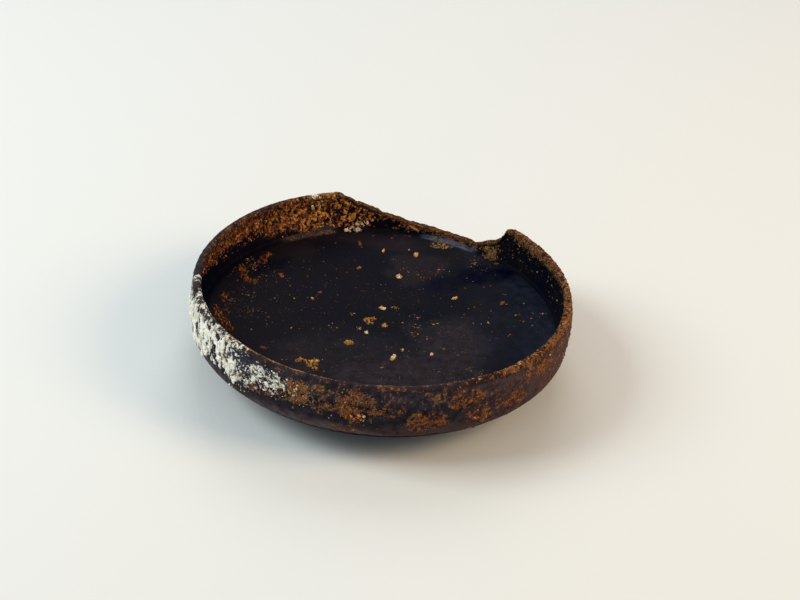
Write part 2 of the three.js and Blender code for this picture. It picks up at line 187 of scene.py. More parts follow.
INSIDE_RUST = [
    (148, 5, 26, 12, 0.6), (170, 3, 18, 8, 0.55), (126, 12, 24, 18, 0.5),
    (100, 17, 18, 16, 0.34), (84, 22, 16, 8, 0.5), (118, 27.6, 13, 2, 0.5),
    (64, 22, 20, 6, 0.5), (51, 20, 7, 16, 0.5), (28, 2, 28, 7, 0.5),
]
INSIDE_OCHRE = [
    (112, 2, 16, 6, 0.5), (52, 23, 5, 5, 0.6), (32, 3, 22, 7, 0.42), (64, 25, 20, 8, 0.3),
]
# A painted glint along the foot of the inner wall, where it meets the floor, and a painted sheen on the
# inner wall
INSIDE_SHEEN = [
    (119, 27.6, 12, 1.5, 0.6), (112, 25, 5, 4, 0.6), (67, 27.6, 12, 1.6, 1),
]
LIP_RUST = [
    (154, 0, 34, 9, 0.36), (124, 0, 26, 9, 0.5), (350, 0, 62, 9, 0.62), (20, 0, 44, 9, 0.58),
    (262, 0, 60, 9, 0.4),
]
LIP_PALE = [
    (187, 0, 3, 9, 0.5), (195, 0, 4, 9, 0.58), (116, 0, 2.2, 9, 0.52), (212, 0, 26, 9, 0.46),
]
LIP_OCHRE = [
    (112, 0, 12, 9, 0.62), (5, 0, 56, 9, 0.34),
]
LIP_EDGE_OCHRE = [
    (238, 0, 26, 9, 0.62), (282, 0, 64, 9, 0.44),
]
# A painted sheen on the lip
LIP_SHEEN = [
    (158, 0, 36, 9, 0.16), (205, 0, 30, 9, 0.3), (258, 0, 50, 9, 0.2),
]

# The same on the floor, as (x, y, half its width, half its length, strength)
FLOOR_RUST = [
    (-98, 40, 20, 40, 0.3), (-108, -6, 10, 40, 0.4), (-60, 96, 40, 16, 0.24),
    (4, 113, 28, 8, 0.3), (-46, -50, 26, 22, 0.22), (26, 70, 22, 22, 0.26),
]
FLOOR_OCHRE = [
    (0, 0, 120, 120, 0.16), (24, 4, 26, 24, 0.24), (-90, 30, 34, 60, 0.22),
    (72, 86, 20, 16, 0.34), (54, -56, 34, 20, 0.26), (28, 74, 26, 20, 0.2),
    (41, 107, 14, 8, 0.46),
]
# A painted sheen on the floor: a pale bluish reflection in clouds
FLOOR_SHEEN = [
    (50, -16, 40, 46, 0.105), (22, -70, 62, 52, 0.105), (-24, -50, 62, 44, 0.06),
    (-16, 108, 66, 15, 0.02), (22, 78, 20, 22, 0.045), (108, 14, 44, 84, 0.05),
]
# Where the slip's black is deeper and bluer
FLOOR_DARK = [
    (69, 71, 26, 17, 1), (48, 56, 20, 12, 0.6), (-86, 62, 17, 14, 0.6),
]
FLOOR_WARM = [
    (-34, 106, 76, 18, 0.13), (24, 82, 24, 22, 0.09), (-96, 76, 26, 22, 0.16),
    (-64, 84, 28, 22, 0.15),
]

# The films' strengths where no blot gives a higher one
OUTSIDE_LEAST = 0.16
OUTSIDE_WARMTH = 0.06
INSIDE_LEAST = 0.1
INSIDE_DARK = 0.7
INSIDE_WARMTH = 0.16
LIP_WARMTH = 0.15
LIP_RIGHT_WARMTH = 0.4
FLOOR_WARMTH = 0.02
FLOOR_LEFT_WARMTH = 0.04
# Painted sheen along the floor's right edge, which lifts the wall's shadow on the floor there
FLOOR_EDGE_SHEEN = 0.07
# How much warmth the painted sheen adds to the floor away from its right part
SHEEN_WARMTH = 0.7
BREAK_RUST = 0.8

# Where specks lie, as blots: on the walls, loosely over the floor, and in close clusters on the floor
INSIDE_FLECKS = [
    (30, 3, 24, 6, 1), (22, 12, 26, 12, 0.4), (38, 9, 10, 10, 0.8), (52, 20, 8, 10, 0.8),
]
WHITE_FLECKS = [
    (186, 4, 12, 4, 0.5), (224, 15, 10, 14, 1), (238, 11, 10, 10, 0.8), (250, 12, 6, 8, 0.3),
]
INSIDE_CREAM_FLECKS = [
    (115, 5, 3, 5, 1), (130, 6, 14, 4, 0.3),
]
CREAM_FLECKS = [
    (249, 15, 5, 9, 1), (263, 24, 8, 12, 0.3), (338, 18, 18, 18, 0.2),
]
FLOOR_SPECKS = [
    (-76, 32, 44, 56, 1), (26, 74, 24, 20, 0.8), (70, 86, 16, 14, 0.8), (88, 24, 28, 36, 0.4),
    (24, 4, 22, 22, 0.9), (-44, -40, 50, 36, 0.4),
]
FLOOR_MARKS = [
    (-92, 57, 4, 5, 0.6), (-98, 64, 5, 4, 0.6), (-103, 64, 4, 3, 0.5), (-107, 50, 4, 6, 0.4),
    (-84, 47, 1.6, 1.6, 1), (-114, 36, 1.5, 1.5, 1), (95, 20, 2.6, 1, 1.4),
    (98, 12, 2.6, 1.4, 1), (104, 22, 1.2, 0.8, 1), (112, 21, 2, 1, 1), (89, -5, 2, 1.5, 1),
    (86, 46, 3, 1, 0.6), (74, 11, 1, 2, 1), (65, 30, 1, 1, 1), (26, 15, 1.5, 1.2, 1.4),
    (35, 23, 1, 1, 1), (38, 8, 1.5, 1.2, 1.2), (10, 25, 3, 1.6, 1), (-14, -4, 1.6, 2.6, 1.4),
    (-20, 13, 2.4, 2.6, 1), (16, -28, 1.8, 2, 1.2), (4, -52, 1.6, 0.8, 1.4),
    (54, -32, 1, 1, 1.4), (44, -24, 1, 1, 1.4),
]

# How far the floor's clouds of painted sheen, warmth and darkness are pulled out of their oval shape,
# and over what distance
CLOUD_DRIFT = 14
CLOUD_SIZE = 34

# The rough part of the lip and the part with pale lumps, each from one angle to another
ROUGH_LIP = (-62, 41)
PALE_LIP = (108, 119)

# No speck rises above this height, and those on the wall stay this far below the lip
HIGHEST = DISH_HEIGHT + 1.65
UNDER_LIP = 2.5

# Counts of steps along and round the turned pieces
BODY_STEPS = 450
FOOT_STEPS = 240
LIP_STEPS = 16
INSIDE_STEPS = 24
FLOOR_RINGS = 56

# The clay's unevenness: what each kind measures across, and its height
FLOOR_WAVE_SIZE = 16
FLOOR_WAVE_HEIGHT = 0.06
WALL_WAVE_SIZE = 14
WALL_WAVE_HEIGHT = 0.16
GRIT_SIZE = 3
GRIT_HEIGHT = 0.08
PIT_SIZE = 5
PIT_DEPTH = 0.3
FOOT_WAVE_SIZE = 4
FOOT_WAVE_HEIGHT = 0.12

# The lip's crusted skin: its lift at the back left, and its roughness all round and more on the right
LIP_LIFT = 0.42
LIP_ROUGHNESS = 0.2
LIP_ROUGHNESS_RIGHT = 0.4
LIP_ROUGHNESS_SIZE = 2

# How far the wall stands outwards of a true circle, and the angles of its back left part
LEAN_BACK_LEFT = 2.3
LEAN_RIGHT = 0.5
LEAN_FROM = 86
LEAN_TO = 170

# The broken edge: its chips, its slope from the inner side to the outer one, and its grit
CHIP_SIZE = 4
CHIP_HEIGHT = 0.6
EDGE_SLOPE = 0.9
EDGE_DROP = 0.1
EDGE_FADE = 1.2
EDGE_GRIT_SIZE = 1.6
EDGE_GRIT_HEIGHT = 0.5
EDGE_RUST_REACH = 6

# How much the densities of the films and of the painted sheen drift from place to place, and over what
# distance
FILM_AND_SHEEN_DRIFT = 0.35
FILM_AND_SHEEN_DRIFT_SIZE = 8

# Crusts: the spacing of their points on the wall and on the floor, and how deep their hidden side lies
WALL_CRUST_STEP = 0.5
FLOOR_CRUST_STEP = 0.3
SUNK = 0.45
HIDDEN_MARGIN = 0.3

# What an even layer, the grains and slow waves give of a crust's thickness
LAYER_SHARE = 0.2
GRAIN_SHARE = 0.65
WAVE_SHARE = 0.35
LEAST_RISE = 0.1
EDGE_OVERHANG = 0.4  # how far a crust reaches past its edge, as a share of its taper
LIP_THINNING = 0.85  # how much of its thickness a crust loses on its way to the lip's top

# How light a crust's grains are: in their seams, whose dark is partly painted shade, by slow drifts, on the
# lip and near the fracture, where painted light lifts the shade on the wall
SEAM_SHADE_TONE = 0.25
TONE_DRIFT = 0.4
TONE_DRIFT_SIZE = 5
LIP_TONE = -0.25
BREAK_PAINTED_LIGHT = 0.34

# The floor's crumbs and larger crusts: how ragged their edges are, how full they are, and their grain
CRUMB_RAGGED = 0.8
CRUMB_FULLNESS = 0.6
LARGE_RAGGED = 1.5
LARGE_FULLNESS = 0.16
WALL_TAPER = 1
FLOOR_TAPER = 1.1
FLOOR_GRAIN = 1.2
FLOOR_HOLE_SIZE = 1.4

# Specks: how flat they are, and their dents
SPECK_FLATNESS = 0.45
DENTS_PER_MM = 1.3
DENT_DEPTH = 0.2  # as a share of the smallest speck's size


# Small sums

UP = Vector((0, 0, 1))
DOWN = Vector((0, 0, -1))


def mix(a, b, share):
    return a + (b - a) * share


def smooth(value):
    t = min(max(value, 0.0), 1.0)
    return t * t * (3 - 2 * t)


def ripple(point, size, octaves=3):
    """Smooth noise from about -1 to 1, whose bumps are size millimetres across."""
    return noise.fractal(point / size, 1.0, 2.0, octaves, noise_basis="PERLIN_ORIGINAL")


def grain_top(point, size):
    """1 on top of a grain and 0 in the seam between grains that lie size millimetres apart."""
    return 1 - smooth(noise.voronoi(point / size)[0][0] / 0.75)


def from_turn(angle, centre):
    """The way from one angle to another in degrees, from -180 to 180."""
    return (angle - centre + 180) % 360 - 180


def around(angle, centre, reach, fade):
    """1 near an angle and 0 from reach degrees away, with the change fade degrees wide."""
    return smooth((reach - abs(from_turn(angle, centre))) / fade)


def densest(blots, across, up, round_wall=True):
    """The density that the strongest blot gives at a place."""
    best = 0.0
    for x, y, half_x, half_y, strength in blots:
        aside = from_turn(across, x) if round_wall else across - x
        off = (aside / half_x) ** 2 + ((up - y) / half_y) ** 2
        if off < 1:
            best = max(best, strength * smooth(1.3 * (1 - off)))
    return best


# The dish's profile as (distance from the axis, height)

def quadratic(start, pull, end, steps):
    points = []
    for i in range(steps + 1):
        t = i / steps
        points.append(tuple(
            (1 - t) ** 2 * start[k] + 2 * t * (1 - t) * pull[k] + t * t * end[k] for k in (0, 1)
        ))
    return points


def cubic(start, pull_a, pull_b, end, steps):
    points = []
    for i in range(steps + 1):
        t = i / steps
        s = 1 - t
        points.append(tuple(
            s ** 3 * start[k] + 3 * s * s * t * pull_a[k] + 3 * s * t * t * pull_b[k] + t ** 3 * end[k]
            for k in (0, 1)
        ))
    return points


def inside_radius(down):
    return INSIDE_RADIUS + WALL_HOLLOW * math.sin(math.pi * down)


def floor_height(radius):
    share = radius / FLOOR_RADIUS
    return DISH_HEIGHT - WALL_DEPTH - FLOOR_DISHING * (1 - share * share)


def underside_line():
    seat_inside = FOOT_TOP_INSIDE - SEAT_MARGIN
    seat_outside = FOOT_TOP_RADIUS + SEAT_MARGIN
    recess_top = FOOT_HEIGHT + RECESS_RISE
    heel = (HEEL_RADIUS, DISH_HEIGHT - HEEL_DROP)
    bend = (heel[0] - (heel[1] - FOOT_HEIGHT) / HEEL_SLOPE, FOOT_HEIGHT)
    recess = quadratic((0, recess_top), (seat_inside, recess_top), (seat_inside, FOOT_HEIGHT), 16)
    belly = quadratic((seat_outside, FOOT_HEIGHT), bend, heel, 30)
    return recess + belly


def outside_line():
    turn = (TURN_RADIUS, DISH_HEIGHT - TURN_DROP)
    heel = (HEEL_RADIUS, DISH_HEIGHT - HEEL_DROP)
    pull = (HEEL_DROP - TURN_DROP) / 3
    belly = (BELLY_RADIUS, DISH_HEIGHT - BELLY_DROP)
    lip = (LIP_RADIUS, DISH_HEIGHT - LIP_CROWN)
    line = cubic(heel, (heel[0] + pull / HEEL_SLOPE, heel[1] + pull), (turn[0], turn[1] - pull), turn, 20)
    line += quadratic(turn, (BELLY_RADIUS, (turn[1] + belly[1]) / 2), belly, 14)[1:]
    line += quadratic(belly, (BELLY_RADIUS, DISH_HEIGHT - BELLY_DROP / 2), lip, 16)[1:]
    return line


def lip_place(turn):
    """Radius and height on the lip's rounding: turn is 0 on its outer side and pi on its inner side."""
    half = LIP_THICKNESS / 2
    across = LIP_RADIUS - half + half * math.cos(turn)
    return across, DISH_HEIGHT - LIP_CROWN + (LIP_CROWN + LIP_RISE) * math.sin(turn)


def lip_line():
    return [lip_place(math.pi * i / LIP_STEPS) for i in range(1, LIP_STEPS)]


def inside_line():
    lowest = 1 - FLOOR_FILLET / WALL_DEPTH
    highest = LIP_CROWN / WALL_DEPTH
    points = []
    for i in range(INSIDE_STEPS + 1):
        down = mix(highest, lowest, i / INSIDE_STEPS)
        points.append((inside_radius(down), DISH_HEIGHT - down * WALL_DEPTH))
    start = points[-1]
    edge = (FLOOR_RADIUS, floor_height(FLOOR_RADIUS))
    corner = (start[0], edge[1])
    return points + cubic(start, corner, corner, edge, 8)[1:]


def floor_line():
    radii = [FLOOR_RADIUS * (1 - i / FLOOR_RINGS) for i in range(1, FLOOR_RINGS + 1)]
    return [(radius, floor_height(radius)) for radius in radii]


def along_line(line, height):
    """The radius and the outward slope of a wall line at a height."""
    for (r0, z0), (r1, z1) in zip(line, line[1:]):
        if min(z0, z1) <= height <= max(z0, z1) and z0 != z1:
            return mix(r0, r1, (height - z0) / (z1 - z0)), (r1 - r0) / (z1 - z0)
    end = line[0] if abs(height - line[0][1]) < abs(height - line[-1][1]) else line[-1]
    return end[0], 0.0


def fracture_height(angle):
    """Height of the broken wall's top at an angle in degrees, or None where the wall is whole."""
    if not BREAK_LINE[-1][0] < angle < BREAK_LINE[0][0]:
        return None
    for (a0, d0), (a1, d1) in zip(BREAK_LINE, BREAK_LINE[1:]):
        if a1 <= angle <= a0 and a0 != a1:
            down = mix(d0, d1, (angle - a0) / (a1 - a0))
            return DISH_HEIGHT - down * WALL_DEPTH
    return None


# Making and finishing pieces

def add_object(name, data):
    piece = bpy.data.objects.new(name, data)
    bpy.context.scene.collection.objects.link(piece)
    return piece


def to_object(bm, name, material, smooth_faces=True):
    mesh = bpy.data.meshes.new(name)
    for face in bm.faces:
        face.smooth = smooth_faces
    bm.to_mesh(mesh)
    bm.free()
    mesh.materials.append(material)
    return add_object(name, mesh)


def dress(piece, slot, *nodes):
    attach(piece, "root")
    if nodes:
        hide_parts(*nodes)


def stand_in(bm, name, node):
    """A piece that takes a node's place, in the node's own finish."""
    finish = OWN_FINISH.get(node, FINISHES[SLOTS[node]])
    dress(to_object(bm, name, finish), SLOTS[node], node)


def spun(profile, steps):
    """A profile of (radius, height) turned once round the Z axis, as a closed body."""
    bm = bmesh.new()
    corners = [bm.verts.new((radius * MM, 0, height * MM)) for radius, height in profile]
    edges = [bm.edges.new(pair) for pair in zip(corners, corners[1:])]
    geom = corners + edges
    bmesh.ops.spin(
        bm, geom=geom, cent=(0, 0, 0), axis=UP, angle=2 * math.pi, steps=steps, use_merge=True
    )
    bmesh.ops.remove_doubles(bm, verts=bm.verts[:], dist=0.02 * MM)
    bmesh.ops.recalc_face_normals(bm, faces=bm.faces[:])
    return bm


# The clay body

def degrees_round(point):
    return math.degrees(math.atan2(point.y, point.x)) % 360


def on_lip(point):
    """0 below the lip's rounding and 1 on top of it."""
    return smooth((point.z - (DISH_HEIGHT - LIP_CROWN - 1.2)) / 1.6)


def is_outside(point):
    return math.hypot(point.x, point.y) > LIP_RADIUS - LIP_THICKNESS / 2


def clay_relief(point):
    """How far the clay's surface stands out at a point, in millimetres."""
    radius = math.hypot(point.x, point.y)
    if radius < FLOOR_RADIUS - 3 and point.z > FOOT_HEIGHT + RECESS_RISE + 1:
        return FLOOR_WAVE_HEIGHT * ripple(point, FLOOR_WAVE_SIZE)
    relief = WALL_WAVE_HEIGHT * ripple(point, WALL_WAVE_SIZE) + GRIT_HEIGHT * ripple(point, GRIT_SIZE)
    if point.z < DISH_HEIGHT - HEEL_DROP:
        return relief * smooth((radius - FOOT_RADIUS - 2) / 10)
    pits = smooth((ripple(point, PIT_SIZE, 2) - 0.3) * 3)
    angle = degrees_round(point)
    roughness = LIP_ROUGHNESS + LIP_ROUGHNESS_RIGHT * around(angle, 0, 75, 20)
    rough = roughness * (ripple(point, LIP_ROUGHNESS_SIZE) - 0.1)
    lift = LIP_LIFT * around(angle, 144, 50, 14)
    return relief - PIT_DEPTH * pits + on_lip(point) * (lift + rough)


def lean(point):
    """How the wall, which isn't quite round, stands outwards at a point, as a shift in millimetres."""
    angle = degrees_round(point)
    back_left = smooth((LEAN_TO - angle) / 60) * smooth((angle - LEAN_FROM) / 22)
    right = around(angle, 0, 75, 30)
    height = smooth((point.z - DISH_HEIGHT + WALL_DEPTH - FLOOR_FILLET) / 16)
    shift = LEAN_BACK_LEFT * back_left + LEAN_RIGHT * right
    return Vector((point.x, point.y, 0)).normalized() * shift * height


def shape_fracture(bm):
    """Brings the wall down to the fracture where it is broken away."""
    fracture = bm.verts.layers.float.new("fracture")
    for vert in bm.verts:
        point = vert.co / MM
        radius = math.hypot(point.x, point.y)
        across = (radius - LIP_RADIUS + LIP_THICKNESS / 2) / LIP_THICKNESS
        angle = degrees_round(point)
        top = fracture_height(angle + STUB_SLANT * (0.5 - across) * smooth((60 - angle) / 8))
        if radius < FLOOR_RADIUS or top is None:
            continue
        chips = CHIP_HEIGHT * ripple(Vector((point.x, point.y, 0)), CHIP_SIZE)
        top += chips - EDGE_SLOPE * across ** 2 - EDGE_DROP
        if point.z > top:
            vert[fracture] = smooth((point.z - top) / EDGE_FADE)
            vert.co.z = top * MM


def films_and_sheen_on_floor(point):
    x, y = point.x, point.y
    # Painted light along the floor's right edge lifts the wall's shadow there
    right_edge_sheen = smooth((math.hypot(x, y) - 92) / 22) * smooth((x - 40) / 30)
    cloud_x = x + CLOUD_DRIFT * ripple(point, CLOUD_SIZE)
    cloud_y = y + CLOUD_DRIFT * ripple(point + Vector((2 * BELLY_RADIUS, 0, 0)), CLOUD_SIZE)
    sheen = densest(FLOOR_SHEEN, cloud_x, cloud_y, False) + FLOOR_EDGE_SHEEN * right_edge_sheen
    left = smooth((20 - x) / 120)
    least = FLOOR_WARMTH + FLOOR_LEFT_WARMTH * left
    warm = max(least, densest(FLOOR_WARM, cloud_x, cloud_y, False))
    warm_sheen = SHEEN_WARMTH * sheen * smooth((86 - x) / 30)
    return {
        "rust": densest(FLOOR_RUST, x, y, False),
        "ochre": densest(FLOOR_OCHRE, x, y, False),
        "pale": 0,
        "sheen": sheen,
        "dark": densest(FLOOR_DARK, cloud_x, cloud_y, False),
        "warm": warm + warm_sheen,
    }


def within(oval, angle, height):
    """1 inside an oval on the wall and 0 outside it."""
    middle, drop, half_width, half_height = oval
    aside = (angle - middle) / half_width
    below = (DISH_HEIGHT - height - drop) / half_height
    return smooth(1.6 - math.hypot(aside, below))


def films_and_sheen_on_wall(point):
    angle = degrees_round(point)
    drop = DISH_HEIGHT - point.z
    if is_outside(point):
        low_down = mix(OUTSIDE_WARMTH, 1, smooth((drop - 24) / 12))
        film_and_sheen = {
            "rust": max(densest(OUTSIDE_RUST, angle, drop), OUTSIDE_LEAST),
            "ochre": densest(OUTSIDE_OCHRE, angle, drop),
            "pale": densest(OUTSIDE_PALE, angle, drop),
            "sheen": max(densest(OUTSIDE_SHEEN, angle, drop), OUTSIDE_LEAST),
            "dark": 0,
            "warm": max(low_down, around(angle, 5, 84, 60)),
        }
    else:
        sheen = densest(INSIDE_SHEEN, angle, drop)
        bare = within(HOLLOW, angle, point.z)
        film_and_sheen = {
            "rust": max(densest(INSIDE_RUST, angle, drop), INSIDE_LEAST) * (1 - bare),
            "ochre": densest(INSIDE_OCHRE, angle, drop),
            "pale": 0,
            "sheen": sheen,
            "dark": INSIDE_DARK * around(angle, 180, 60, 24),
            "warm": max(INSIDE_WARMTH * around(angle, 128, 50, 40), 0.06 * sheen),
        }
    inner_edge = smooth((LIP_RADIUS - LIP_THICKNESS / 3 - math.hypot(point.x, point.y)) / 0.8)
    edge_ochre = inner_edge * densest(LIP_EDGE_OCHRE, angle, 0)
    lip = {
        "rust": mix(densest(LIP_RUST, angle, 0), film_and_sheen["rust"], inner_edge * film_and_sheen["rust"]),
        "ochre": max(densest(LIP_OCHRE, angle, 0), edge_ochre),
        "pale": densest(LIP_PALE, angle, 0),
        "sheen": densest(LIP_SHEEN, angle, 0),
        "dark": 0,
        "warm": LIP_WARMTH + LIP_RIGHT_WARMTH * around(angle, 10, 100, 60),
    }
    share = on_lip(point)
    return {key: mix(film_and_sheen[key], lip[key], share) for key in film_and_sheen}


def near_fracture(point):
    """1 on the broken edge, falling to 0 some millimetres below it."""
    top = fracture_height(degrees_round(point))
    return 0.0 if top is None else smooth(1 - (top - point.z) / EDGE_RUST_REACH)


def films_and_sheen_at(point, faces_up):
    """The films and the painted sheen on the clay at a point.

    The floor's go a little way up the wall on the right.
    """
    angle = degrees_round(point)
    reach = FLOOR_RADIUS - 1 + 3.2 * around(angle, -12, 60, 4)
    if math.hypot(point.x, point.y) < reach and faces_up:
        return films_and_sheen_on_floor(point)
    film_and_sheen = films_and_sheen_on_wall(point)
    if not is_outside(point):
        film_and_sheen["rust"] = max(film_and_sheen["rust"], BREAK_RUST * near_fracture(point))
    return film_and_sheen


def make_body():
    profile = underside_line() + outside_line() + lip_line() + inside_line() + floor_line()
    bm = spun(profile, BODY_STEPS)
    shape_fracture(bm)
    bmesh.ops.remove_doubles(bm, verts=bm.verts[:], dist=0.12 * MM)
    bm.normal_update()
    fracture = bm.verts.layers.float["fracture"]
    layers = {key: bm.verts.layers.float.new(key) for key in FILMS_AND_SHEEN}
    for vert in bm.verts:
        point = vert.co / MM
        film_and_sheen = films_and_sheen_at(point, vert.normal.z > 0)
        drift = 1 + FILM_AND_SHEEN_DRIFT * ripple(point, FILM_AND_SHEEN_DRIFT_SIZE)
        for key, layer in layers.items():
            vert[layer] = film_and_sheen[key] if key == "warm" else film_and_sheen[key] * drift
        move = clay_relief(point) + EDGE_GRIT_HEIGHT * vert[fracture] * ripple(point, EDGE_GRIT_SIZE)
        away = UP if vert[fracture] > 0.3 else vert.normal
        vert.co += (away * move + lean(point)) * MM
    stand_in(bm, "clay_body", "dish_body")


def make_foot():
    base_inside = FOOT_RADIUS - FOOT_BASE_WIDTH
    worn = 1.2
    waist = 5
    outer_pull = FOOT_RADIUS - 0.4
    inner_pull = base_inside - 2.4
    skin = 0.3  # next to the table and the body, where the foot stays flat
    outer = quadratic((FOOT_RADIUS - worn, 0), (FOOT_RADIUS, 0), (FOOT_RADIUS, worn), 5)
    side = quadratic((FOOT_RADIUS, worn), (outer_pull, waist), (FOOT_TOP_RADIUS, FOOT_HEIGHT), 8)[1:]
    inner = quadratic((FOOT_TOP_INSIDE, FOOT_HEIGHT), (inner_pull, waist), (base_inside, worn), 8)
    base = quadratic((base_inside, worn), (base_inside, 0), (base_inside + worn, 0), 5)[1:]
    bm = spun(outer + side + inner + base + [outer[0]], FOOT_STEPS)
    for vert in bm.verts:
        point = vert.co / MM
        if skin < point.z < FOOT_HEIGHT - skin:
            vert.co += vert.normal * FOOT_WAVE_HEIGHT * ripple(point, FOOT_WAVE_SIZE) * MM
    stand_in(bm, "turned_foot", "ring_foot")


# Crusts: each is a patch in flat coordinates (u, w), laid on the clay and given its own height

def distance_inside(u, w, outline):
    """Millimetres from (u, w) to the outline's nearest side, above 0 inside it."""
    inside = False
    nearest = 1e9
    for (u0, w0), (u1, w1) in zip(outline, outline[1:] + outline[:1]):
        if (w0 > w) != (w1 > w) and u < u0 + (w - w0) * (u1 - u0) / (w1 - w0):
            inside = not inside
        span = (u1 - u0) ** 2 + (w1 - w0) ** 2
        t = 0 if span == 0 else min(max(((u - u0) * (u1 - u0) + (w - w0) * (w1 - w0)) / span, 0), 1)
        nearest = min(nearest, math.hypot(u0 + t * (u1 - u0) - u, w0 + t * (w1 - w0) - w))
    return nearest if inside else -nearest


def painted_light_near_break(point):
    """How much lighter the grains on the wall are towards the fracture: painted light that lifts the shade
    there.
    """
    if math.hypot(point.x, point.y) <= FLOOR_RADIUS:
        return 0.0
    angle = degrees_round(point)
    return BREAK_PAINTED_LIGHT * smooth((144 - angle) / 30) * smooth((angle - 60) / 10)


def make_crust(node, low, high, step, depth_at, place, thickness, taper, grain):
    """A crust in a node's place, whose top dips into the clay where depth_at(u, w, point) falls below 0.

    taper is how many millimetres its edge takes to reach the full height and the full lightness.
    """
    bm = bmesh.new()
    across = bm.verts.layers.float.new("across")
    up = bm.verts.layers.float.new("up")
    rise = bm.verts.layers.float.new("rise")
    tone = bm.verts.layers.float.new("grain")
    bmesh.ops.create_grid(
        bm,
        x_segments=max(4, math.ceil((high[0] - low[0]) / step)),
        y_segments=max(4, math.ceil((high[1] - low[1]) / step)),
        size=1,
    )
    outside = []
    for vert in bm.verts:
        u = mix(low[0], high[0], (vert.co.x + 1) / 2)
        w = mix(low[1], high[1], (vert.co.y + 1) / 2)
        here = place(u, w, 0)
        depth = depth_at(u, w, here)
        if depth < -taper:
            outside.append(vert)
            continue
        body = smooth((depth + EDGE_OVERHANG * taper) / ((1 + EDGE_OVERHANG) * taper))
        top = grain_top(here, grain)
        full = thickness * (LAYER_SHARE + GRAIN_SHARE * top + WAVE_SHARE * ripple(here, 3 * grain))
        vert[across] = u
        vert[up] = w
        drift = TONE_DRIFT * ripple(here, TONE_DRIFT_SIZE)
        # A lower tone in the seams, partly painted shade between the grains, and a higher one on the grain
        # tops
        vert[tone] = mix(SEAM_SHADE_TONE, 1, top) * smooth(depth / taper) + drift
        # Painted light near the fracture lifts the shade on the wall there
        vert[tone] += painted_light_near_break(here) + LIP_TONE * on_lip(here)
        vert[rise] = mix(-SUNK, max(full, LEAST_RISE), body)
    bmesh.ops.delete(bm, geom=outside, context="VERTS")
    for vert in bm.verts:
        vert.co = place(vert[across], vert[up], -SUNK - HIDDEN_MARGIN) * MM
    copied = bmesh.ops.extrude_face_region(bm, geom=bm.faces[:], use_keep_orig=True)
    for vert in [part for part in copied["geom"] if isinstance(part, bmesh.types.BMVert)]:
        vert.co = place(vert[across], vert[up], vert[rise]) * MM
    bmesh.ops.recalc_face_normals(bm, faces=bm.faces[:])
    stand_in(bm, node + "_crust", node)


# The two sides of the wall, each by the way that it faces
OUTSIDE = 1
INSIDE = -1
WALL_LINES = {OUTSIDE: outside_line(), INSIDE: inside_line()}
LIP_ARC = math.pi / 2 * math.hypot(LIP_THICKNESS / 2, LIP_CROWN + LIP_RISE) / math.sqrt(2)


def on_wall(side, u, w, rise):
    """On one side of the wall, and above it on that half of the lip's rounding."""
    angle = side * u / BELLY_RADIUS
    lip_start = DISH_HEIGHT - LIP_CROWN
    if w > lip_start:
        climbed = min((w - lip_start) / LIP_ARC, 1)
        rise *= 1 - LIP_THINNING * climbed
        turn = math.pi / 2 * (1 - side * (1 - climbed))
        radius, height = lip_place(turn)
        normal = Vector((math.cos(turn) * (LIP_CROWN + LIP_RISE), math.sin(turn) * LIP_THICKNESS / 2))
    else:
        radius, slope = along_line(WALL_LINES[side], w)
        height = w
        normal = Vector((side, -side * slope))
    normal.normalize()
    clay = Vector((radius * math.cos(angle), radius * math.sin(angle), height))
    away = Vector((normal.x * math.cos(angle), normal.x * math.sin(angle), normal.y))
    return clay + away * (rise + clay_relief(clay)) + lean(clay)


def on_floor(u, w, rise):
    return Vector((u, w, floor_height(math.hypot(u, w)) + rise))


def wall_outline(corners, side):
    """Turns corners given as (angle, down) into (millimetres round the wall, height)."""
    return [
        (side * math.radians(angle) * BELLY_RADIUS, DISH_HEIGHT - down * WALL_DEPTH)
        for angle, down in corners
    ]


def ragged_oval(angle, down, width, height, phase):
    count = 14
    corners = []
    for i in range(count):
        turn = 2 * math.pi * i / count
        swell = 1 + 0.16 * math.sin(3 * turn + phase) + 0.1 * math.sin(5 * turn + 2 * phase)
        corners.append((
            angle + width / 2 * swell * math.cos(turn),
            down - height / 2 * swell * math.sin(turn),
        ))
    return corners


def limits(outline, margin, top):
    low = (min(u for u, w in outline) - margin, min(w for u, w in outline) - margin)
    high = (max(u for u, w in outline) + margin, max(w for u, w in outline) + margin)
    return low, (high[0], min(high[1], top))


def wall_crust(node, side, corners, thickness, ragged, grain, hole_size, fullness, squash=1):
    """fullness(angle, height) is about 0.5 where the crust is whole and 0 where it is half holes.

    Holes are about hole_size millimetres wide, and 1 / squash times as high.
    """
    outline = wall_outline(corners, side)
    low, high = limits(outline, 2 * ragged, DISH_HEIGHT - LIP_CROWN + LIP_ARC)

    def depth(u, w, here):
        edge = distance_inside(u, w, outline) + ragged * ripple(here, 3 * ragged, 4)
        stretched = Vector((here.x, here.y, here.z * squash))
        hole = fullness(degrees_round(here), here.z) - ripple(stretched, hole_size, 4)
        return min(edge, hole * hole_size, top_of_wall(here) - here.z)

    def place(u, w, rise):
        return on_wall(side, u, w, rise)

    make_crust(node, low, high, WALL_CRUST_STEP, depth, place, thickness, WALL_TAPER, grain)


def top_of_wall(point):
    top = fracture_height(degrees_round(point))
    return DISH_HEIGHT + 2 * LIP_RISE if top is None else top - 0.3


